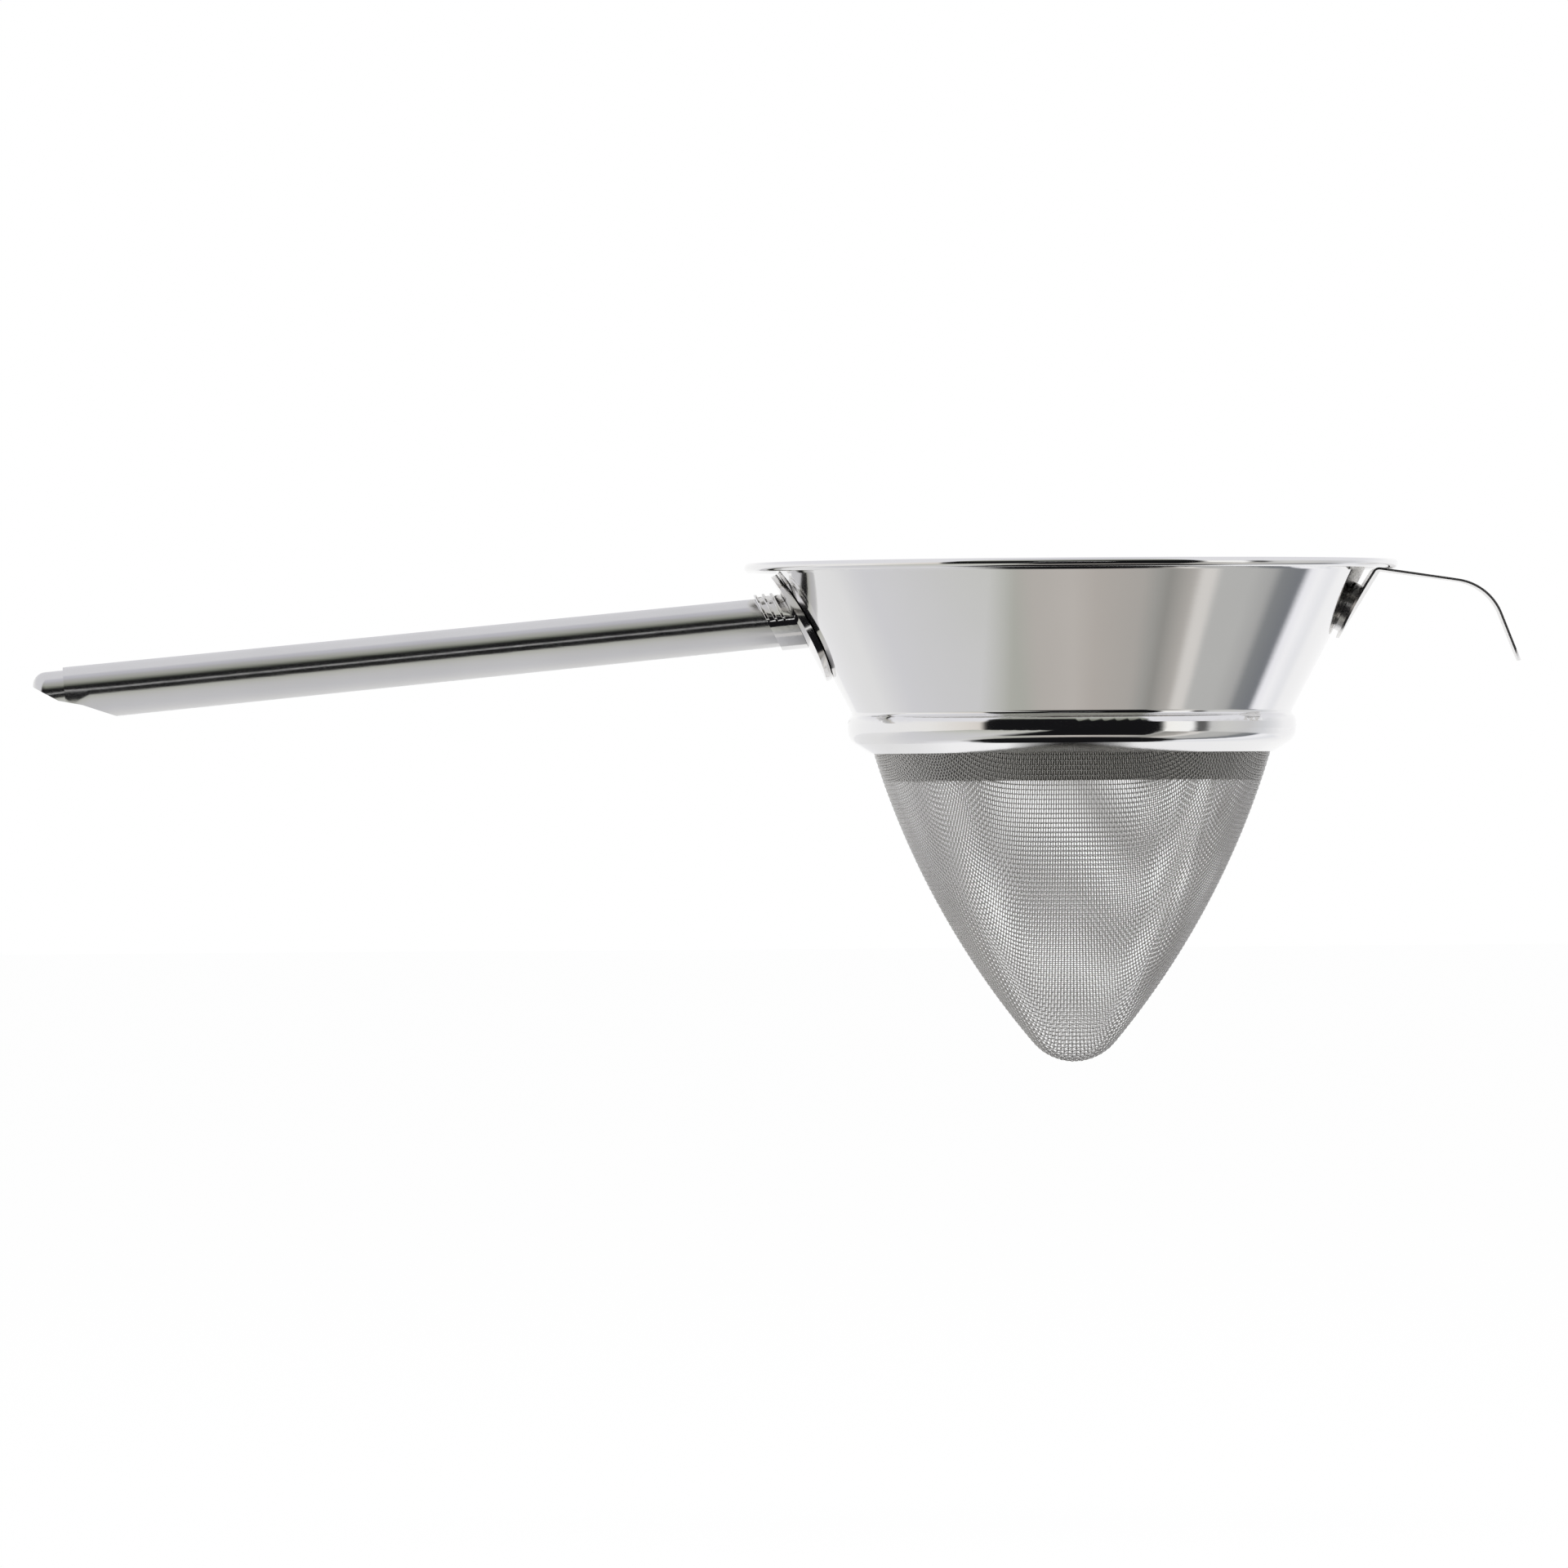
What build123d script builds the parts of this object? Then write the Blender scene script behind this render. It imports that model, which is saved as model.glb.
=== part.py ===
from build123d import *
import os
from math import asin, cos, degrees, pi, radians, sin, tan

# A conical fine-mesh strainer. Millimetres. The origin is on the cone's axis, in the plane
# of the rim's top. +Z is up, the handle points to -X and the pan hook to +X.

# Bowl: a flared band of sheet, with a flange, a rolled edge and a bead at its foot
sheet = 0.8
wall_angle = 27.8
flange_width = 7.55
curl_radius = 1.45
curl_turn = 270.0
flange_bend = 5.0
neck_inset = 1.6
neck_bend = 1.2
shoulder_drop = 1.6
shoulder_bend = 3.0
bead_overhang = 6.8462698
bead_lift = 5.2
bead_height = 7.7
bead_bend = 5.0
underside_slope = 32.0

# Cone of wire cloth: mouth under the bead, round tip, and the gaps of its net
mouth_radius = 61.4
mouth_depth = 60.2
cone_depth = 155.5
tip_radius = 16.7
tip_slope = 40.0
cloth = 0.6
hem_height = 7.0
bar = 1.6
wide_columns = 22
narrow_columns = 11
column_change_share = 0.5
last_row_share = 0.25

# Rings that hold the cloth
hem_wire_radius = 1.0
hem_wire_drop = 2.6
ring_sheet = 0.6
ring_overlap = 7.9
ring_knee_height = 7.7
ring_top_rise = 1.0

# Clearances between pieces that seat on each other, and the overrun of every cut
seat_gap = 0.05
lip_gap = 0.15
overrun = 5.0

# Handle plate: an egg-shaped plate that stands off the wall on a pad
plate_sheet = 2.0
plate_standoff = 0.25
plate_half_width = 18.0
plate_top_depth = 3.3
plate_wide_depth = 22.5
plate_foot_depth = 35.8
pad_share = 0.62

# Handle: slope, tapered tube, ridged collar and end plug
handle_slope = 5.4
joint_depth = 17.75
tube_length = 227.5
tube_wall = 1.0
tube_end_radius = 7.75
tube_free_radius = 8.4
collar_length = 8.2
collar_thickness = 0.95
collar_drop = 0.3
ridge_count = 3
ridge_width = 1.1
ridge_pitch = 2.45
ridge_lift = 0.4
ridge_round = 0.3
nose_length = 9.8
nose_bend = 4.1
nose_step = 0.9
plug_depth = 30.0

# Sloping underside of the handle's end, as steps back from the nose and down from the axis
nose_cut_rise = 3.25
cut_knee_back = 7.6
cut_knee_drop = 1.85
cut_step_back = 15.0
cut_step_drop = 3.95
cut_foot_back = 25.0

# Pan hook: a tongue along the wall, an arm under the rim and a drop outside the pan's edge
hook_sheet = 0.7
hook_standoff = 1.95
hook_half_width = 18.5
tongue_depth = 24.4
tongue_slope = 32.0
tongue_round = 18.0
hook_pad_radius = 8.0
hook_pad_depth = 14.5
root_bend = 2.2
arm_gap = 0.3
arm_slope = 8.7
arm_reach = 30.3
hook_bend = 17.0
drop_slope = 68.9
drop_length = 25.5
tip_half_width = 9.0
tip_round = 5.0

# The cloth's outline is a round tip and one arc from it to the mouth. The arc leaves the tip
# without a kink, which gives its radius and its centre.
tip_centre_depth = cone_depth - tip_radius
tip_top_radius = tip_radius * cos(radians(tip_slope))
tip_top_depth = tip_centre_depth + tip_radius * sin(radians(tip_slope))
side_run = mouth_radius - tip_top_radius
side_rise = tip_top_depth - mouth_depth
side_lean = side_rise * sin(radians(tip_slope)) - side_run * cos(radians(tip_slope))
side_radius = (side_run**2 + side_rise**2) / (side_lean + side_lean)
side_centre_radius = tip_top_radius - side_radius * cos(radians(tip_slope))
side_centre_depth = tip_top_depth - side_radius * sin(radians(tip_slope))
mouth_slope = degrees(asin((mouth_depth - side_centre_depth) / side_radius))
mouth_cosine = cos(radians(mouth_slope))

# The bead goes round the hem wire, and overhangs the cloth beside the wire
hem_depth = mouth_depth - hem_height
hem_wire_depth = hem_depth + hem_wire_drop
hem_cloth_radius = mouth_radius + (mouth_depth - hem_wire_depth) * tan(radians(mouth_slope))
bead_radius = hem_cloth_radius + bead_overhang
bead_depth = mouth_depth - bead_lift
neck_depth = bead_depth - bead_height
neck_radius = bead_radius - neck_inset
wall_run = tan(radians(wall_angle))
wall_cosine = cos(radians(wall_angle))
curl_centre_radius = neck_radius + (neck_depth - sheet) * wall_run + flange_width
curl_bore = curl_radius - sheet


def wall_radius(depth, offset=0):
    """Radius of the wall's outer face at a depth, or of a layer offset square from it."""
    return neck_radius + (neck_depth - depth) * wall_run + offset / wall_cosine


def cloth_radius(depth, inset=0):
    """Radius of the cloth's outer face at a depth, or of a layer inset square from it."""
    if depth <= mouth_depth:
        return mouth_radius + (mouth_depth - depth) * tan(radians(mouth_slope)) - inset / mouth_cosine
    angle = asin((depth - side_centre_depth) / (side_radius - inset))
    return side_centre_radius + (side_radius - inset) * cos(angle)


def tube_radius(along):
    """Outer radius of the handle's tube at a distance from the joint."""
    return tube_end_radius + (tube_free_radius - tube_end_radius) * along / tube_length


def turned(section):
    """Ring about the cone's axis, from a section drawn as radius and height."""
    return revolve(Plane.XZ * section, Axis.Z)


def beside(points, distance):
    """Corners of the line that runs beside a line, at a distance to its right."""
    moved = []
    for index, here in enumerate(points):
        before = here - points[index - 1] if index else points[1] - here
        after = points[index + 1] - here if index + 1 < len(points) else before
        right = Vector(before.Y, -before.X).normalized()
        middle = (right + Vector(after.Y, -after.X).normalized()).normalized()
        moved.append(here + middle * (distance / middle.dot(right)))
    return moved


def bends_beside(points, bends, distance):
    """Bend radii of the line that runs beside a line, at a distance to its right."""
    radii = []
    for index, bend in enumerate(bends):
        before = points[index + 1] - points[index]
        after = points[index + 2] - points[index + 1]
        turns_left = before.cross(after).Z > 0
        radii.append(bend + distance if turns_left else bend - distance)
    return radii


def bent_sheet(points, bends, thickness):
    """The two faces of a bent sheet in section: the given line and the one to its right."""
    near = FilletPolyline(*points, radius=bends)
    far = FilletPolyline(*beside(points, thickness), radius=bends_beside(points, bends, thickness))
    return near, far


def sheet_section(points, bends, thickness):
    """Section of a bent sheet with square ends."""
    near, far = bent_sheet(points, bends, thickness)
    return make_face(near + far + Line(near @ 0, far @ 0) + Line(near @ 1, far @ 1))


def wall_layer(inner_offset, outer_offset, top_depth, foot_depth):
    """Ring that lies along the wall, between two offsets from its outer face."""
    corners = [
        (wall_radius(top_depth, inner_offset), -top_depth),
        (wall_radius(top_depth, outer_offset), -top_depth),
        (wall_radius(foot_depth, outer_offset), -foot_depth),
        (wall_radius(foot_depth, inner_offset), -foot_depth),
    ]
    return turned(make_face(Polyline(*corners, close=True)))


def wall_frame(side, depth):
    """Plane on the wall's outer face: x runs up the wall, z points out of it."""
    out = Vector(side * wall_cosine, 0, -sin(radians(wall_angle)))
    up = Vector(side * sin(radians(wall_angle)), 0, wall_cosine)
    return Plane(origin=(side * wall_radius(depth), 0, -depth), x_dir=up, z_dir=out)


def make_bowl():
    """Band, flange, rolled edge and bead, turned from one strip of sheet."""
    slope = radians(underside_slope)
    inner_radius = bead_radius - sheet * sin(slope)
    inner_depth = bead_depth - sheet * cos(slope)
    room = inner_radius - cloth_radius(inner_depth) - lip_gap / mouth_cosine
    lip_reach = room / (cos(slope) - sin(slope) * tan(radians(mouth_slope)))
    corners = [
        Vector(curl_centre_radius, -sheet),
        Vector(curl_centre_radius - flange_width, -sheet),
        Vector(neck_radius, -neck_depth),
        Vector(bead_radius, -neck_depth - shoulder_drop),
        Vector(bead_radius, -bead_depth),
        Vector(bead_radius - lip_reach * cos(slope), -bead_depth - lip_reach * sin(slope)),
    ]
    bends = [flange_bend, neck_bend, shoulder_bend, bead_bend]
    outside, inside = bent_sheet(corners, bends, sheet)
    curl_centre = (curl_centre_radius, -curl_radius)
    bore = CenterArc(curl_centre, curl_bore, 90, -curl_turn)
    curl = CenterArc(curl_centre, curl_radius, 90, -curl_turn)
    ends = Line(outside @ 1, inside @ 1) + Line(bore @ 1, curl @ 1)
    return turned(make_face(outside + inside + bore + curl + ends))


def make_rim_wire():
    """Wire inside the rolled edge."""
    centre = (curl_centre_radius, -curl_radius)
    return turned(Pos(*centre) * Circle(curl_bore - seat_gap))


def cloth_line(inset):
    """Outline of one face of the cloth, from the axis at the tip to the hem."""
    tip_centre = (0, -tip_centre_depth)
    side_centre = (side_centre_radius, -side_centre_depth)
    tip = CenterArc(tip_centre, tip_radius - inset, -90, 90 - tip_slope)
    side = CenterArc(side_centre, side_radius - inset, -tip_slope, tip_slope - mouth_slope)
    hem = Line(side @ 1, (cloth_radius(hem_depth, inset), -hem_depth))
    return tip, side, hem


def net_gap(width, height, radius, depth, slope, turn):
    """Cutter for one gap of the net, square to the cloth."""
    cutter = Box(overrun, width, height)
    return Rot(0, 0, turn) * Pos(radius, 0, -depth) * Rot(0, slope, 0) * cutter


def net_gaps():
    """Cutters for all gaps, in rows that shrink with the cone and halve in number once."""
    cutters = []
    slope = mouth_slope
    radius = cloth_radius(mouth_depth)
    while radius > mouth_radius * last_row_share:
        columns = wide_columns if radius > mouth_radius * column_change_share else narrow_columns
        pitch = 2 * pi * radius / wide_columns
        slope += degrees(pitch / 2 / side_radius)
        radius = side_centre_radius + side_radius * cos(radians(slope))
        depth = side_centre_depth + side_radius * sin(radians(slope))
        width = 2 * pi * radius / columns - bar
        for column in range(columns):
            turn = 360 * column / columns
            cutters.append(net_gap(width, pitch - bar, radius, depth, slope, turn))
        slope += degrees(pitch / 2 / side_radius)
        radius = side_centre_radius + side_radius * cos(radians(slope))
    return cutters


def make_mesh_cone():
    """Cone of cloth, with the cloth's openings as one net of larger gaps."""
    outer = cloth_line(0)
    inner = cloth_line(cloth)
    ends = Line(outer[0] @ 0, inner[0] @ 0) + Line(outer[2] @ 1, inner[2] @ 1)
    skin = turned(make_face(outer[0] + outer[1] + outer[2] + inner[0] + inner[1] + inner[2] + ends))
    return skin - net_gaps()


def make_mesh_hem_wire():
    """Wire in the bead that the cloth's edge lies against."""
    radius = hem_cloth_radius + (hem_wire_radius + seat_gap) / mouth_cosine
    return turned(Pos(radius, -hem_wire_depth) * Circle(hem_wire_radius))


def make_retaining_ring():
    """Band inside the top of the cloth, which presses it against the bead."""
    inset = cloth + seat_gap
    knee_depth = mouth_depth - ring_knee_height
    foot_depth = mouth_depth + ring_overlap
    top_radius = neck_radius - sheet / wall_cosine - seat_gap
    points = [
        Vector(top_radius, -neck_depth + ring_top_rise),
        Vector(cloth_radius(knee_depth, inset), -knee_depth),
        Vector(cloth_radius(foot_depth, inset), -foot_depth),
    ]
    return turned(sheet_section(points, [neck_bend], ring_sheet))


def egg(upper, lower, half_width):
    """Egg outline, longer above its widest line than below it, with x upwards."""
    top = EllipticalCenterArc((0, 0), upper, half_width, -90, arc_size=180)
    foot = EllipticalCenterArc((0, 0), lower, half_width, 90, arc_size=180)
    return make_face(top + foot)


def make_handle_plate():
    """Egg-shaped plate that follows the wall, and the pad that seats it there."""
    upper = (plate_wide_depth - plate_top_depth) / wall_cosine
    lower = (plate_foot_depth - plate_wide_depth) / wall_cosine
    frame = wall_frame(-1, plate_wide_depth)
    outline = egg(upper, lower, plate_half_width)
    pad_outline = egg(upper * pad_share, lower * pad_share, plate_half_width * pad_share)
    outer = plate_standoff + plate_sheet
    top = plate_top_depth - overrun
    foot = plate_foot_depth + overrun
    plate = wall_layer(plate_standoff, outer, top, foot) & extrude(frame * outline, 2 * overrun, both=True)
    pad = wall_layer(seat_gap, outer, top, foot) & extrude(frame * pad_outline, 2 * overrun, both=True)
    return plate + pad


def handle_direction():
    """Direction of the handle's axis, from the bowl outwards."""
    return Vector(-cos(radians(handle_slope)), 0, -sin(radians(handle_slope)))


def handle_frame():
    """Plane with x along the handle's axis from its joint, y up and z across."""
    offset = plate_standoff + plate_sheet
    origin = (-wall_radius(joint_depth, offset), 0, -joint_depth)
    return Plane(origin=origin, x_dir=handle_direction(), z_dir=(0, 1, 0))


def plate_core():
    """Solid inside the plate's outer face, which trims what seats on the plate."""
    offset = plate_standoff + plate_sheet + seat_gap
    corners = [
        (0, overrun),
        (wall_radius(-overrun, offset), overrun),
        (wall_radius(neck_depth, offset), -neck_depth),
        (0, -neck_depth),
    ]
    return turned(make_face(Polyline(*corners, close=True)))


def mitred_disc(radius, lift, start, length):
    """Disc along the handle whose ends are parallel to the wall, lifted off the axis."""
    tilt = radians(wall_angle - handle_slope)
    face = wall_frame(-1, joint_depth) * Pos(lift / cos(tilt), 0) * Ellipse(radius / cos(tilt), radius)
    joint = handle_frame().origin - Vector(-wall_radius(joint_depth), 0, -joint_depth)
    placed = Pos(*(joint + handle_direction() * start)) * face
    return extrude(placed, length, dir=handle_direction())


def make_handle_collar():
    """Collar round the tube's end, with ridges that stand proud along its top."""
    radius = tube_radius(collar_length) + collar_thickness
    collar = mitred_disc(radius, -collar_drop, -radius, collar_length + radius)
    for index in range(ridge_count):
        start = collar_length - ridge_width - index * ridge_pitch
        ridge = mitred_disc(radius, ridge_lift, start, ridge_width)
        rims = ridge.edges().filter_by(lambda edge: edge.length > radius)
        collar += fillet(rims, ridge_round)
    bore_length = collar_length + radius
    bore = Cylinder(tube_radius(bore_length) + seat_gap, 4 * bore_length, rotation=(0, 90, 0))
    return collar - handle_frame() * bore - plate_core()


def end_cut():
    """Cutter for the sloping underside of the handle's free end."""
    nose = tube_length + nose_length
    below = -tube_free_radius - overrun
    rise = (nose_cut_rise + cut_knee_drop) / cut_knee_back
    fall = (tube_free_radius - cut_step_drop) / (cut_foot_back - cut_step_back)
    outline = Polyline(
        (nose + overrun, nose_cut_rise + overrun * rise),
        (nose - cut_knee_back, -cut_knee_drop),
        (nose - cut_step_back, -cut_step_drop),
        (nose - cut_foot_back - overrun, -tube_free_radius - overrun * fall),
        (nose + overrun, below - overrun),
        close=True,
    )
    return extrude(make_face(outline), tube_free_radius + overrun, both=True)


def make_handle_tube():
    """Tapered tube, trimmed to the plate at one end and cut sloping below at the other."""
    start = -tube_free_radius
    outer = tube_radius(start)
    outline = Polyline(
        (start, outer - tube_wall),
        (start, outer),
        (tube_length, tube_free_radius),
        (tube_length, tube_free_radius - tube_wall),
        close=True,
    )
    tube = revolve(make_face(outline), Axis.X) - end_cut()
    return handle_frame() * tube - plate_core()


def make_handle_end_cap():
    """Rounded nose with a plug that fills the tube's end down to the sloping cut."""
    plug_start = tube_length - plug_depth
    plug_radius = tube_radius(plug_start) - tube_wall - seat_gap
    nose_radius = tube_free_radius - nose_step
    nose_end = tube_length + nose_length
    outline = FilletPolyline(
        (plug_start, 0),
        (plug_start, plug_radius),
        (tube_length, plug_radius),
        (tube_length, nose_radius),
        (nose_end, nose_radius),
        (nose_end, 0),
        radius=[0, 0, 0, nose_bend],
    )
    section = make_face(outline + Line(outline @ 1, outline @ 0))
    return handle_frame() * (revolve(section, Axis.X) - end_cut())


def tongue_radius(depth, offset=0):
    """Radius of the tongue's face that looks at the wall, or of a layer offset square from it."""
    foot = wall_radius(tongue_depth, hook_standoff)
    lean = radians(tongue_slope)
    return foot + (tongue_depth - depth) * tan(lean) + offset / cos(lean)


def hook_tongue_outline():
    """The tongue seen along +X, with its foot rounded off."""
    straight = tongue_depth - tongue_round + overrun
    outline = Pos(0, tongue_round - tongue_depth) * Ellipse(hook_half_width, tongue_round)
    return outline + Pos(0, tongue_round - tongue_depth + straight / 2) * Rectangle(
        2 * hook_half_width, straight
    )


def hook_arm_outline(tip_radius):
    """The arm and the drop seen from above, narrowing to a tip with rounded corners."""
    start = tip_radius - tip_round * cos(radians(drop_slope))
    sides = Polyline(
        (curl_centre_radius, -hook_half_width),
        (start, -tip_half_width),
        (start, tip_half_width),
        (curl_centre_radius, hook_half_width),
        close=True,
    )
    return make_face(sides) + Pos(start, 0) * Ellipse(tip_radius - start, tip_half_width)


def make_hook_pad():
    """Boss that fills the space between the wall and the tongue."""
    middle = hook_sheet / 2
    corners = [
        (wall_radius(0, seat_gap), 0),
        (tongue_radius(0, middle), 0),
        (tongue_radius(tongue_depth, middle), -tongue_depth),
        (wall_radius(tongue_depth, seat_gap), -tongue_depth),
    ]
    disc = wall_frame(1, hook_pad_depth) * Circle(hook_pad_radius)
    return turned(make_face(Polyline(*corners, close=True))) & extrude(disc, 2 * overrun, both=True)


def make_pan_hook():
    """Tongue on the wall, arm under the rim and drop over the pan's edge, from one strip."""
    fall = tan(radians(arm_slope))
    lean = tan(radians(tongue_slope))
    rim_underside = 2 * curl_radius + arm_gap
    arm_start = curl_centre_radius - tongue_radius(rim_underside)
    root_radius = curl_centre_radius - arm_start / (1 + fall * lean)
    root_depth = rim_underside + (root_radius - curl_centre_radius) * fall
    corner = Vector(curl_centre_radius + arm_reach, -rim_underside - arm_reach * fall)
    drop = Vector(cos(radians(drop_slope)), -sin(radians(drop_slope)))
    tip = corner + drop * drop_length
    points = [
        Vector(tongue_radius(tongue_depth), -tongue_depth),
        Vector(root_radius, -root_depth),
        corner,
        tip,
    ]
    section = sheet_section(points, [root_bend, hook_bend], hook_sheet)
    strip_turn = 4 * degrees(asin(hook_half_width / corner.X))
    strip = Rot(0, 0, -strip_turn / 2) * revolve(Plane.XZ * section, Axis.Z, strip_turn)
    tongue = strip & extrude(Plane.YZ * hook_tongue_outline(), curl_centre_radius)
    arm = strip & extrude(hook_arm_outline(tip.X), 2 * tip.X, both=True)
    return tongue + arm + make_hook_pad()


SUBPARTS = {
    "bowl": make_bowl,
    "rim_wire": make_rim_wire,
    "mesh_cone": make_mesh_cone,
    "mesh_hem_wire": make_mesh_hem_wire,
    "retaining_ring": make_retaining_ring,
    "handle_plate": make_handle_plate,
    "handle_collar": make_handle_collar,
    "handle_tube": make_handle_tube,
    "handle_end_cap": make_handle_end_cap,
    "pan_hook": make_pan_hook,
}

os.makedirs("parts", exist_ok=True)
for name, make in SUBPARTS.items():
    export_step(make(), "parts/" + name + ".step")
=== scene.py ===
import math
import bpy
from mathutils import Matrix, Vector


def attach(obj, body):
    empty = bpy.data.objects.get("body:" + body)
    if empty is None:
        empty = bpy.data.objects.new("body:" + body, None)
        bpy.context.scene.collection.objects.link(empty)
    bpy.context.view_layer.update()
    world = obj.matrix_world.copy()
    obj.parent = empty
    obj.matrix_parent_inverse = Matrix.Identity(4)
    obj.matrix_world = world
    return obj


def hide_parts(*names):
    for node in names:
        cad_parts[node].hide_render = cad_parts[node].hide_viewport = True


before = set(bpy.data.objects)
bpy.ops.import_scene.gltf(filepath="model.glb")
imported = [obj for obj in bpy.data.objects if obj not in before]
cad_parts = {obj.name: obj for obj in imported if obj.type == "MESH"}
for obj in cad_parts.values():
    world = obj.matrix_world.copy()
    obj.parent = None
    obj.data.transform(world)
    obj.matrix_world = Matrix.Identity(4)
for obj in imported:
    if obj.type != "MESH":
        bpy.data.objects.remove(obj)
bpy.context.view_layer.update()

ROOT = "root"

# Camera: the photograph is level and taken from far away, so the view is almost parallel.
VIEW_DISTANCE = 5.7
VIEW_WIDTH = 0.4872
VIEW_X = -0.0896
VIEW_Z = -0.0686
VIEW_ROLL = 0.4
SENSOR = 0.036
MILLIMETRES = 1000
NEAR_CLIP = 0.1
FAR_CLIP = 100

# Floor, well below the object
FLOOR_Z = -0.30
FLOOR_SIZE = 40.0
FLOOR_GREY = (0.92, 0.92, 0.92)
FLOOR_GLOW = 0.97

# Paper under the handle: its ends, its height and the length over which it fades out
PAPER_START = -0.45
PAPER_END = -0.06
PAPER_FRONT = -0.37
PAPER_BACK = 0.40
PAPER_Z = -0.12
PAPER_FADE = 0.03
PAPER_RAMP_OFFSET = 0.4

# Lamp overhead
LAMP_SIZE = 3.0
LAMP_POWER = 60.0
LAMP_PLACE = (0.3, -0.4, 3.0)

# Cone of cloth, as in the CAD: round tip, one arc up the side, straight above the mouth
MOUTH_RADIUS = 0.0614
MOUTH_DEPTH = 0.0602
CONE_DEPTH = 0.1555
TIP_RADIUS = 0.0167
TIP_SLOPE = math.radians(40)
HEM_DEPTH = 0.0545

# Woven wire: one square cloth pressed into the cone. Its concentric squares become rounded squares
# round the cone: the wires run level in the middle of each side and rise to the four corners.
WIRE = 0.00034
PITCH = 0.00158
CRIMP = 0.5
WIRE_SIDES = 4
STEPS = 3
PIECES_PER_FAMILY = 4
SQUARENESS = 4.5
GATHER = 0.15

# Steel's clouds and fine lines
CLOUD_SCALE = 38.0
CLOUD_DETAIL = 3.0
LINE_DETAIL = 4.0
LINE_CONTRAST = 0.7
RELIEF = 0.0002


class Profile:
    """Cone of cloth as a surface of revolution, measured along its side from the tip."""

    def __init__(self, inset):
        self.tip_depth = CONE_DEPTH - TIP_RADIUS
        joint_radius = TIP_RADIUS * math.cos(TIP_SLOPE)
        joint_depth = self.tip_depth + TIP_RADIUS * math.sin(TIP_SLOPE)
        run = MOUTH_RADIUS - joint_radius
        rise = joint_depth - MOUTH_DEPTH
        lean = rise * math.sin(TIP_SLOPE) - run * math.cos(TIP_SLOPE)
        self.side = (run * run + rise * rise) / (2 * lean)
        self.centre_radius = joint_radius - self.side * math.cos(TIP_SLOPE)
        self.centre_depth = joint_depth - self.side * math.sin(TIP_SLOPE)
        self.mouth_angle = math.asin((MOUTH_DEPTH - self.centre_depth) / self.side)
        self.tip = TIP_RADIUS - inset
        self.side_in = self.side - inset
        self.tip_length = self.tip * (math.pi / 2 - TIP_SLOPE)
        self.side_length = self.side_in * (TIP_SLOPE - self.mouth_angle)

    def at(self, along):
        """(radius, depth, slope) at a distance along the side from the tip."""
        if along < self.tip_length:
            angle = math.pi / 2 - along / self.tip
            return self.tip * math.cos(angle), self.tip_depth + self.tip * math.sin(angle), angle
        along -= self.tip_length
        if along < self.side_length:
            angle = TIP_SLOPE - along / self.side_in
            radius = self.centre_radius + self.side_in * math.cos(angle)
            return radius, self.centre_depth + self.side_in * math.sin(angle), angle
        along -= self.side_length
        angle = self.mouth_angle
        radius = self.centre_radius + self.side_in * math.cos(angle) + along * math.sin(angle)
        depth = self.centre_depth + self.side_in * math.sin(angle) - along * math.cos(angle)
        return radius, depth, angle


profile = Profile(WIRE * (0.5 + CRIMP))


def surface(along, turn):
    """Point and outward normal on the cloth's middle surface."""
    radius, depth, slope = profile.at(along)
    point = (radius * math.cos(turn), radius * math.sin(turn), -depth)
    normal = (math.cos(slope) * math.cos(turn), math.cos(slope) * math.sin(turn), -math.sin(slope))
    return point, normal


def drawn(i, j):
    """Distance from the tip, in pitches, and turn round the cone, of a crossing of the flat cloth."""
    along = (abs(i) ** SQUARENESS + abs(j) ** SQUARENESS) ** (1 / SQUARENESS)
    quarter = math.floor(math.atan2(j, i) / (math.pi / 2) + 0.5)
    level = i * math.cos(quarter * math.pi / 2) + j * math.sin(quarter * math.pi / 2)
    across = j * math.cos(quarter * math.pi / 2) - i * math.sin(quarter * math.pi / 2)
    share = across / level
    return along, math.pi / 4 * (share * (1 + GATHER - GATHER * abs(share)) + 2 * quarter)


def whole_net():
    """Place and normal of every crossing, as {(i, j): (place, normal)}, from the tip to the hem."""
    net = {}
    limit = 0
    while profile.at(limit * PITCH)[1] > HEM_DEPTH:
        limit += 1
    for i in range(-limit, limit):
        for j in range(-limit, limit):
            along, turned = drawn(i + 0.5, j + 0.5)
            if profile.at(along * PITCH)[1] > HEM_DEPTH:
                point, normal = surface(along * PITCH, turned)
                net[(i, j)] = (Vector(point), Vector(normal))
    return net


def wires(net, family):
    """Runs of knots that one wire passes through, each knot with the side that it passes on."""
    lines = {}
    for i, j in net:
        line, place = (j, i) if family == 0 else (i, j)
        lines.setdefault(line, []).append(place)
    runs = []
    for line, places in sorted(lines.items()):
        run = []
        for place in sorted(places):
            if run and place != run[-1][0] + 1:
                runs.append((line, run))
                run = []
            side = 1 if (line + place + family) % 2 == 0 else -1
            run.append((place, side))
        runs.append((line, run))
    result = []
    for line, run in runs:
        if len(run) < 2:
            continue
        points = []
        knots = [(net[(place, line) if family == 0 else (line, place)], side) for place, side in run]
        for (knot, side), (onward, other) in zip(knots, knots[1:]):
            for step in range(STEPS):
                share = step / STEPS
                where = knot[0].lerp(onward[0], share)
                normal = knot[1].lerp(onward[1], share).normalized()
                height = side * math.cos(math.pi * share) * CRIMP * WIRE
                points.append((where + normal * height, normal))
        (where, normal), side = knots[-1]
        points.append((where + normal * (side * CRIMP * WIRE), normal))
        result.append((line, points))
    return result


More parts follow.
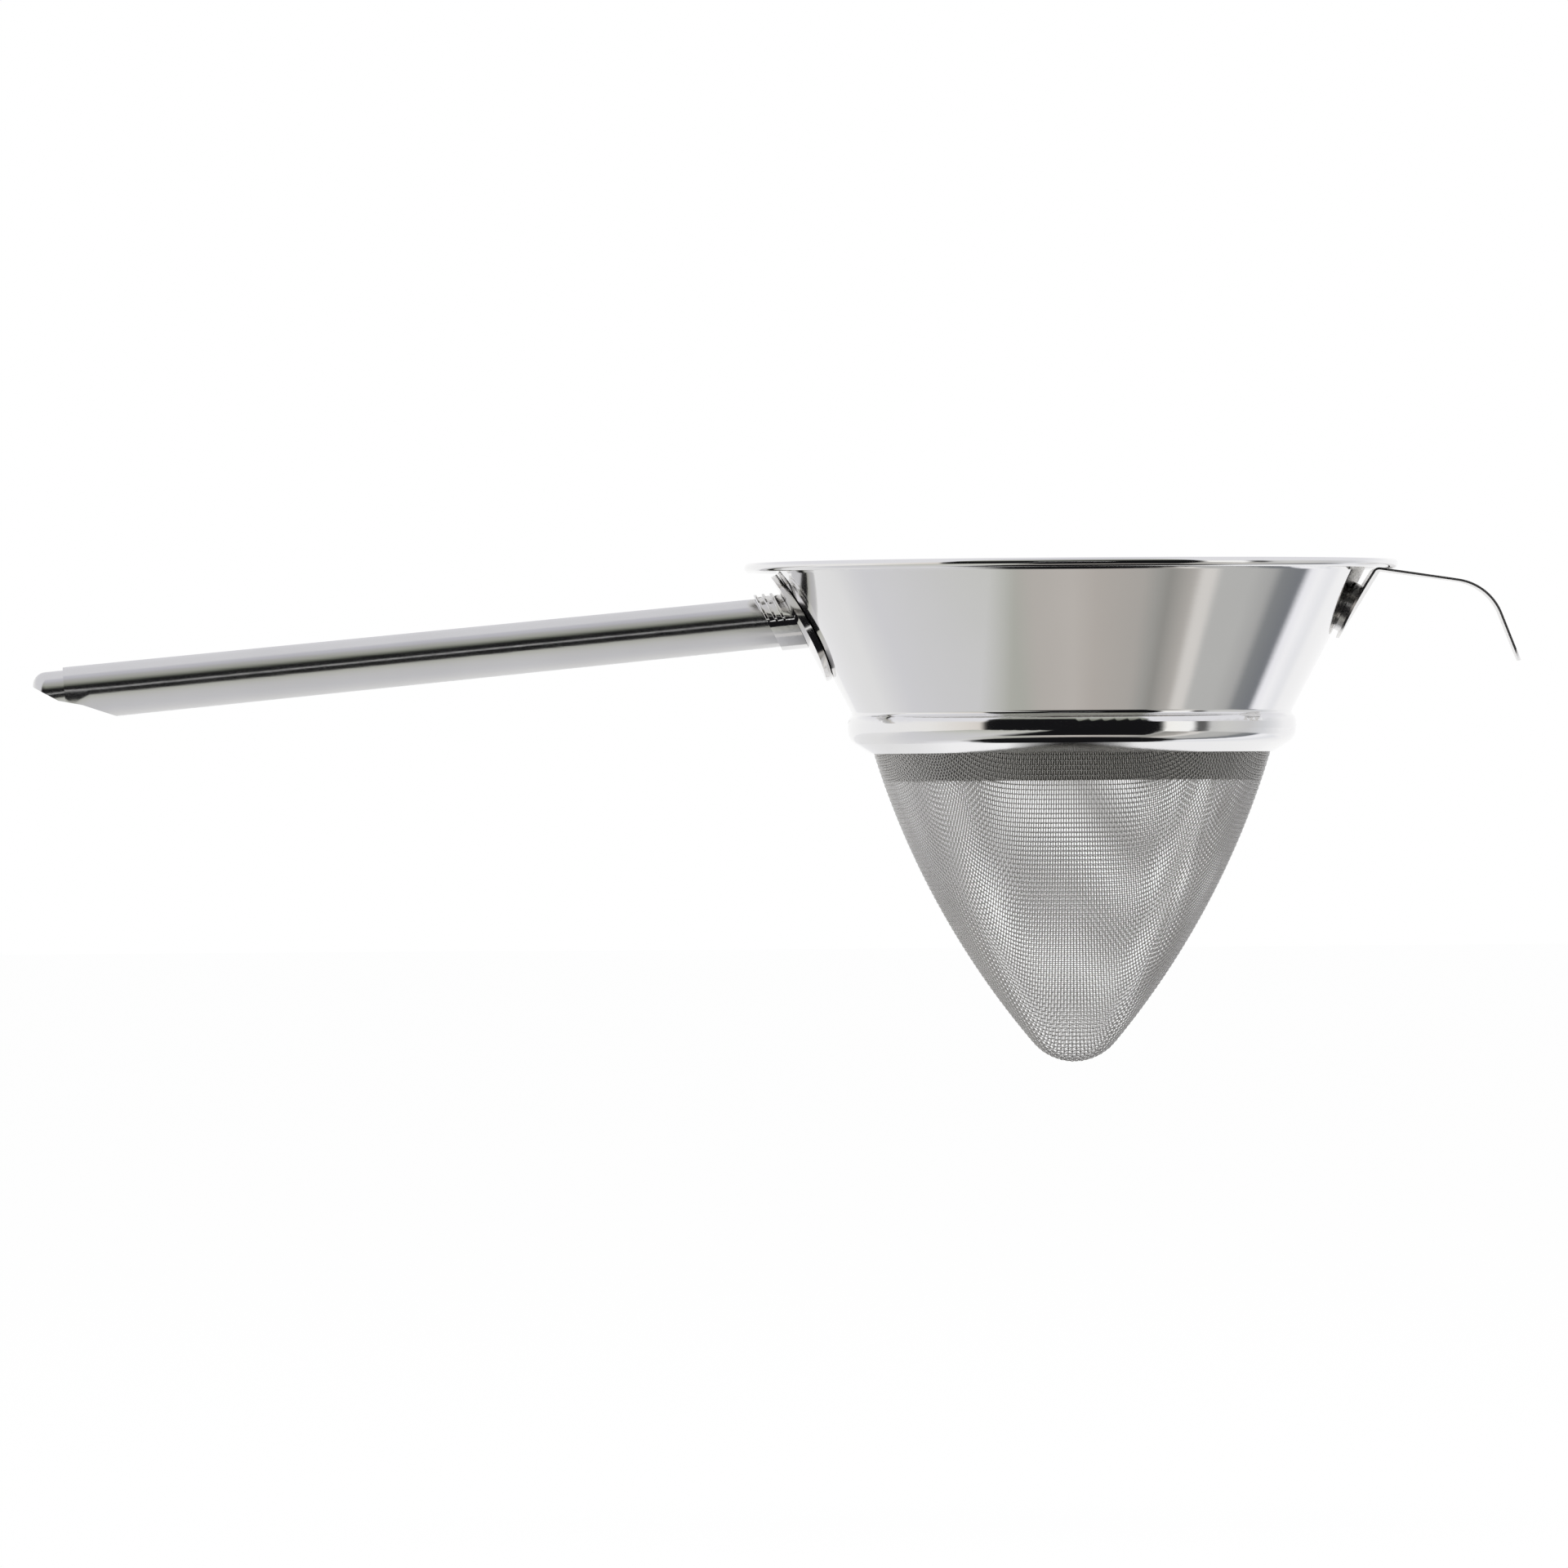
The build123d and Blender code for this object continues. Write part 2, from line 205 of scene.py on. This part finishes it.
def add_tube(vertices, faces, points):
    """Four-sided wire along a run of points."""
    first = len(vertices)
    for index, (where, normal) in enumerate(points):
        before = points[max(index - 1, 0)][0]
        after = points[min(index + 1, len(points) - 1)][0]
        side = (after - before).cross(normal).normalized() * (WIRE / 2)
        up = normal * (WIRE / 2)
        vertices.extend([where + up, where + side, where - up, where - side])
    for index in range(len(points) - 1):
        here = first + index * WIRE_SIDES
        for k in range(WIRE_SIDES):
            nxt = (k + 1) % WIRE_SIDES
            faces.append((here + k, here + nxt, here + WIRE_SIDES + nxt, here + WIRE_SIDES + k))


def wire_piece(name, lines, material):
    """One piece of the cloth, made of some of its wires."""
    vertices = []
    faces = []
    for points in lines:
        add_tube(vertices, faces, points)
    mesh = bpy.data.meshes.new(name)
    mesh.from_pydata([tuple(v) for v in vertices], [], faces)
    mesh.update()
    mesh.polygons.foreach_set("use_smooth", [True] * len(mesh.polygons))
    piece = bpy.data.objects.new(name, mesh)
    bpy.context.scene.collection.objects.link(piece)
    mesh.materials.append(material)
    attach(piece, ROOT)
    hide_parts("mesh_cone")
    return piece


# Materials

class Nodes:
    """Short way to build a node tree."""

    def __init__(self, tree):
        self.tree = tree
        tree.nodes.clear()

    def add(self, kind, **values):
        node = self.tree.nodes.new(kind)
        for name, value in values.items():
            setattr(node, name, value)
        return node

    def link(self, source, target):
        self.tree.links.new(source, target)

    def feed(self, value, socket):
        """Give a socket a number, a colour or another node's output."""
        if isinstance(value, (int, float)):
            socket.default_value = value
        elif isinstance(value, tuple):
            socket.default_value = (*value, 1)
        else:
            self.link(value, socket)

    def math(self, operation, *values, clamp=False):
        node = self.add("ShaderNodeMath", operation=operation, use_clamp=clamp)
        for value, socket in zip(values, node.inputs):
            self.feed(value, socket)
        return node.outputs[0]

    def ramp(self, factor, stops, interpolation="LINEAR"):
        node = self.add("ShaderNodeValToRGB")
        ramp = node.color_ramp
        ramp.interpolation = interpolation
        while len(ramp.elements) > 1:
            ramp.elements.remove(ramp.elements[-1])
        for index, (place, colour) in enumerate(stops):
            element = ramp.elements[0] if index == 0 else ramp.elements.new(place)
            element.position = place
            element.color = (*colour, 1)
        self.link(factor, node.inputs["Fac"])
        return node.outputs["Color"]

    def mix(self, factor, first, second):
        node = self.add("ShaderNodeMix", data_type="RGBA")
        self.feed(factor, node.inputs["Factor"])
        self.feed(first, node.inputs[6])
        self.feed(second, node.inputs[7])
        return node.outputs[2]

    def mix_shader(self, factor, first, second):
        node = self.add("ShaderNodeMixShader")
        self.link(factor, node.inputs["Fac"])
        self.link(first, node.inputs[1])
        self.link(second, node.inputs[2])
        return node.outputs[0]


def new_material(name):
    material = bpy.data.materials.new(name)
    material.use_nodes = True
    return material, Nodes(material.node_tree)


def steel(name, light, dark, smooth, rough, grain, streak, bump):
    """Steel whose tint, polish and fine lines vary. The grain is the lines' fineness per axis."""
    material, n = new_material(name)
    output = n.add("ShaderNodeOutputMaterial")
    shader = n.add("ShaderNodeBsdfPrincipled")
    n.link(shader.outputs["BSDF"], output.inputs["Surface"])
    shader.inputs["Metallic"].default_value = 1.0
    place = n.add("ShaderNodeTexCoord").outputs["Object"]
    clouds = n.add("ShaderNodeTexNoise")
    clouds.inputs["Scale"].default_value = CLOUD_SCALE
    clouds.inputs["Detail"].default_value = CLOUD_DETAIL
    n.link(place, clouds.inputs["Vector"])
    stretch = n.add("ShaderNodeMapping")
    stretch.inputs["Scale"].default_value = grain
    n.link(place, stretch.inputs["Vector"])
    lines = n.add("ShaderNodeTexNoise")
    lines.inputs["Scale"].default_value = 1.0
    lines.inputs["Detail"].default_value = LINE_DETAIL
    lines.inputs["Roughness"].default_value = LINE_CONTRAST
    n.link(stretch.outputs["Vector"], lines.inputs["Vector"])
    n.link(n.mix(clouds.outputs["Fac"], light, dark), shader.inputs["Base Color"])
    spread = n.math("MULTIPLY", lines.outputs["Fac"], streak)
    worn = n.math("MULTIPLY_ADD", clouds.outputs["Fac"], rough - smooth, smooth)
    n.link(n.math("ADD", spread, worn), shader.inputs["Roughness"])
    relief = n.add("ShaderNodeBump")
    relief.inputs["Strength"].default_value = bump
    relief.inputs["Distance"].default_value = RELIEF
    n.link(lines.outputs["Fac"], relief.inputs["Height"])
    n.link(relief.outputs["Normal"], shader.inputs["Normal"])
    return material


polished = steel(
    "polished_steel", light=(0.90, 0.895, 0.885), dark=(0.86, 0.855, 0.845),
    smooth=0.03, rough=0.07, grain=(60, 60, 900), streak=0.04, bump=0.02,
)
plate_steel = steel(
    "plate_steel", light=(0.88, 0.87, 0.86), dark=(0.82, 0.81, 0.80),
    smooth=0.06, rough=0.10, grain=(700, 90, 700), streak=0.03, bump=0.0,
)
satin = steel(
    "satin_steel", light=(0.78, 0.775, 0.765), dark=(0.70, 0.695, 0.685),
    smooth=0.09, rough=0.15, grain=(45, 1500, 1500), streak=0.10, bump=0.05,
)
ring_steel = steel(
    "ring_steel", light=(0.62, 0.61, 0.59), dark=(0.50, 0.49, 0.47),
    smooth=0.30, rough=0.38, grain=(60, 60, 900), streak=0.08, bump=0.04,
)
hook_steel = steel(
    "hook_steel", light=(0.86, 0.85, 0.835), dark=(0.80, 0.79, 0.775),
    smooth=0.20, rough=0.28, grain=(700, 90, 700), streak=0.06, bump=0.04,
)
wire_steel = steel(
    "wire_steel", light=(0.86, 0.85, 0.83), dark=(0.72, 0.71, 0.69),
    smooth=0.14, rough=0.22, grain=(300, 300, 300), streak=0.08, bump=0.03,
)

finish = {
    "bowl": polished,
    "rim_wire": polished,
    "mesh_hem_wire": polished,
    "retaining_ring": ring_steel,
    "handle_plate": plate_steel,
    "handle_collar": polished,
    "handle_tube": satin,
    "handle_end_cap": satin,
    "pan_hook": hook_steel,
    "mesh_cone": wire_steel,
}
for node, material in finish.items():
    for slot in bpy.data.objects[node].material_slots:
        slot.material = material

net = whole_net()
for family, letter in ((0, "long"), (1, "cross")):
    runs = wires(net, family)
    share = sum(len(points) for line, points in runs) / PIECES_PER_FAMILY
    groups = [[]]
    for line, points in runs:
        if sum(len(run) for run in groups[-1]) > share:
            groups.append([])
        groups[-1].append(points)
    for number, lines in enumerate(groups, 1):
        wire_piece("cloth_" + letter + "_wires_" + str(number), lines, wire_steel)

# Camera, level and far away, rolled a little as the photograph's is
camera_data = bpy.data.cameras.new("camera")
camera_data.sensor_fit = "HORIZONTAL"
camera_data.sensor_width = SENSOR * MILLIMETRES
camera_data.lens = SENSOR * MILLIMETRES * VIEW_DISTANCE / VIEW_WIDTH
camera_data.clip_start = NEAR_CLIP
camera_data.clip_end = FAR_CLIP
camera = bpy.data.objects.new("camera", camera_data)
camera.location = (VIEW_X, -VIEW_DISTANCE, VIEW_Z)
camera.rotation_euler = (math.pi / 2, math.radians(VIEW_ROLL), 0)
bpy.context.scene.collection.objects.link(camera)
bpy.context.scene.camera = camera


def level_sheet(name, left, right, front, back, height, material):
    """Flat sheet that lies level."""
    corners = [(left, front), (right, front), (right, back), (left, back)]
    mesh = bpy.data.meshes.new(name)
    mesh.from_pydata([(x, y, height) for x, y in corners], [], [(0, 1, 2, 3)])
    mesh.materials.append(material)
    sheet = bpy.data.objects.new(name, mesh)
    bpy.context.scene.collection.objects.link(sheet)
    return sheet


# Floor: pale, keeps a faint shadow, and lets mirror images of the studio pass
floor_material, n = new_material("floor")
paper = n.add("ShaderNodeBsdfDiffuse")
n.feed(FLOOR_GREY, paper.inputs["Color"])
bright = n.add("ShaderNodeEmission")
bright.inputs["Strength"].default_value = 1.0
clear = n.add("ShaderNodeBsdfTransparent")
path = n.add("ShaderNodeLightPath")
glow = n.math("MULTIPLY", path.outputs["Is Camera Ray"], FLOOR_GLOW)
lit = n.mix_shader(glow, paper.outputs[0], bright.outputs[0])
passed = n.mix_shader(path.outputs["Is Glossy Ray"], lit, clear.outputs[0])
n.link(passed, n.add("ShaderNodeOutputMaterial").inputs["Surface"])
half = FLOOR_SIZE / 2
floor = level_sheet("floor", -half, half, -half, half, FLOOR_Z, floor_material)

# Paper under the handle, which shows only in the steel's mirror images. It fades out towards the
# bowl, so its own image on the wall has no edge.
paper_material, n = new_material("handle_paper")
reach = n.add("ShaderNodeSeparateXYZ")
n.link(n.add("ShaderNodeTexCoord").outputs["Object"], reach.inputs[0])
nearness = n.math("MULTIPLY_ADD", reach.outputs["Y"], 1.0, PAPER_RAMP_OFFSET, clamp=True)
fade = n.math("MULTIPLY_ADD", reach.outputs["X"], -1 / PAPER_FADE, PAPER_END / PAPER_FADE, clamp=True)
sheen = n.add("ShaderNodeEmission")
n.link(n.ramp(nearness, [
    (0.0, (0.46, 0.465, 0.43)), (0.2, (0.58, 0.585, 0.55)), (0.30, (0.64, 0.64, 0.65)),
    (0.38, (0.68, 0.68, 0.71)), (0.46, (0.80, 0.80, 0.81)), (0.8, (0.88, 0.88, 0.90)),
]), sheen.inputs["Color"])
faded = n.mix_shader(fade, n.add("ShaderNodeBsdfTransparent").outputs[0], sheen.outputs[0])
n.link(faded, n.add("ShaderNodeOutputMaterial").inputs["Surface"])
handle_paper = level_sheet(
    "handle_paper", PAPER_START, PAPER_END, PAPER_FRONT, PAPER_BACK, PAPER_Z, paper_material,
)
handle_paper.visible_camera = False
handle_paper.visible_diffuse = False
handle_paper.visible_transmission = False
handle_paper.visible_shadow = False

# Lamp: one large soft light overhead, for the floor's shadow
lamp_data = bpy.data.lights.new("overhead", "AREA")
lamp_data.shape = "SQUARE"
lamp_data.size = LAMP_SIZE
lamp_data.energy = LAMP_POWER
lamp = bpy.data.objects.new("overhead", lamp_data)
lamp.location = LAMP_PLACE
lamp.visible_glossy = False
bpy.context.scene.collection.objects.link(lamp)


def around(*stops):
    """Ramp stops from angles round the object: 0 is behind it, 180 is the camera's side."""
    return [(angle / 360 + 0.5, colour) for angle, colour in stops]


def upward(*stops):
    """Ramp stops from angles above the level."""
    return [(angle / 180 + 0.5, colour) for angle, colour in stops]


# Studio round the object: white sides, a dark camera side with a thin lamp, and warm grey below
world = bpy.data.worlds.new("studio")
world.use_nodes = True
bpy.context.scene.world = world
n = Nodes(world.node_tree)
direction = n.add("ShaderNodeSeparateXYZ")
n.link(n.add("ShaderNodeTexCoord").outputs["Generated"], direction.inputs[0])
turn = n.math("ARCTAN2", direction.outputs["X"], direction.outputs["Y"])
turn_place = n.math("MULTIPLY_ADD", turn, 1 / (2 * math.pi), 0.5)
height = n.math("ARCSINE", direction.outputs["Z"])
height_place = n.math("MULTIPLY_ADD", height, 1 / math.pi, 0.5)
WARM = (0.52, 0.49, 0.465)
GREEN = (0.44, 0.445, 0.41)
GREY = (0.49, 0.49, 0.485)
SLATE = (0.19, 0.20, 0.22)
TAN = (0.70, 0.68, 0.66)
CREAM = (0.98, 0.97, 0.94)
SKY = (0.80, 0.80, 0.84)
WHITE = (1.0, 1.0, 1.0)
DARK = (0.008, 0.008, 0.009)
BLACK = (0.0, 0.0, 0.0)

# What the bowl's wall shows: everything below the belt
low_sides = n.ramp(turn_place, around(
    (-180, WARM), (-158, (0.49, 0.465, 0.44)), (-145, GREEN), (-122, (0.47, 0.475, 0.44)),
    (-106, (0.56, 0.565, 0.53)), (-98, (0.66, 0.66, 0.64)), (-80, (0.72, 0.72, 0.72)),
    (-60, (0.82, 0.82, 0.83)), (-36, (0.95, 0.95, 0.98)), (0, WHITE),
    (28, (0.92, 0.92, 0.94)), (40, (0.82, 0.83, 0.87)), (52, (0.97, 0.97, 1.0)),
    (58, (0.9, 0.9, 0.95)), (62, SLATE), (73, (0.24, 0.25, 0.26)), (78, (0.42, 0.42, 0.42)),
    (88, GREY), (103, GREY), (107, TAN), (112, TAN), (116, (0.46, 0.44, 0.42)),
    (128, (0.30, 0.295, 0.28)), (134, (0.36, 0.355, 0.34)), (142, (0.43, 0.41, 0.39)),
    (166, (0.47, 0.44, 0.415)), (180, WARM),
))
# What the bead, the rim and the fittings show: the belt round the object
belt_sides = n.ramp(turn_place, around(
    (-180, (0.75, 0.71, 0.67)), (-134, (0.72, 0.68, 0.64)), (-120, (0.80, 0.77, 0.74)),
    (-100, (0.88, 0.87, 0.86)), (-60, (0.90, 0.90, 0.92)), (0, WHITE), (40, (0.95, 0.95, 0.97)),
    (62, (0.70, 0.71, 0.74)), (76, (0.62, 0.62, 0.63)), (96, (0.66, 0.66, 0.65)),
    (104, (0.60, 0.60, 0.60)), (108, (0.12, 0.12, 0.12)), (113, (0.12, 0.12, 0.12)),
    (116, WHITE), (134, CREAM), (180, CREAM),
))
# The camera's side of the belt: dark, and grey high up
belt_front = n.ramp(height_place, upward(
    (-90, DARK), (31, DARK), (38, (0.20, 0.21, 0.18)), (48, (0.42, 0.43, 0.39)),
    (60, (0.50, 0.50, 0.50)), (70, (0.60, 0.60, 0.66)), (90, (0.66, 0.66, 0.72)),
))
# A thin level lamp behind the camera
lamp_height = n.ramp(height_place, upward(
    (-90, BLACK), (7.6, BLACK), (8.4, WHITE), (10, WHITE), (10.8, BLACK), (90, BLACK),
))
lamp_turn = n.ramp(turn_place, around(
    (-180, WHITE), (-168, WHITE), (-164, BLACK), (164, BLACK), (168, WHITE), (180, WHITE),
))
lamp_line = n.math("MULTIPLY", lamp_height, lamp_turn)
# Masks: overhead, the camera's side, above the low part in front and at the sides, straight down
top = n.ramp(height_place, upward((-90, BLACK), (12, BLACK), (25, WHITE), (90, WHITE)))
facing = n.ramp(turn_place, around(
    (-180, WHITE), (-134, WHITE), (-131, BLACK), (131, BLACK), (134, WHITE), (180, WHITE),
))
above_front = n.ramp(height_place, upward((-90, BLACK), (-49, BLACK), (-45, WHITE), (90, WHITE)))
above_sides = n.ramp(height_place, upward((-90, BLACK), (-22, BLACK), (-18, WHITE), (90, WHITE)))
underneath = n.ramp(height_place, upward((-90, WHITE), (-64, WHITE), (-59, BLACK), (90, BLACK)))
low = n.mix(underneath, low_sides, DARK)
front = n.mix(lamp_line, belt_front, WHITE)
belt = n.mix(facing, n.mix(top, belt_sides, SKY), front)
studio = n.mix(n.mix(facing, above_sides, above_front), low, belt)
light_path = n.add("ShaderNodeLightPath")
seen = n.mix(light_path.outputs["Is Camera Ray"], studio, WHITE)
background = n.add("ShaderNodeBackground")
background.inputs["Strength"].default_value = 1.0
n.link(seen, background.inputs["Color"])
n.link(background.outputs[0], n.add("ShaderNodeOutputWorld").inputs["Surface"])

bpy.context.scene.view_settings.view_transform = "Standard"
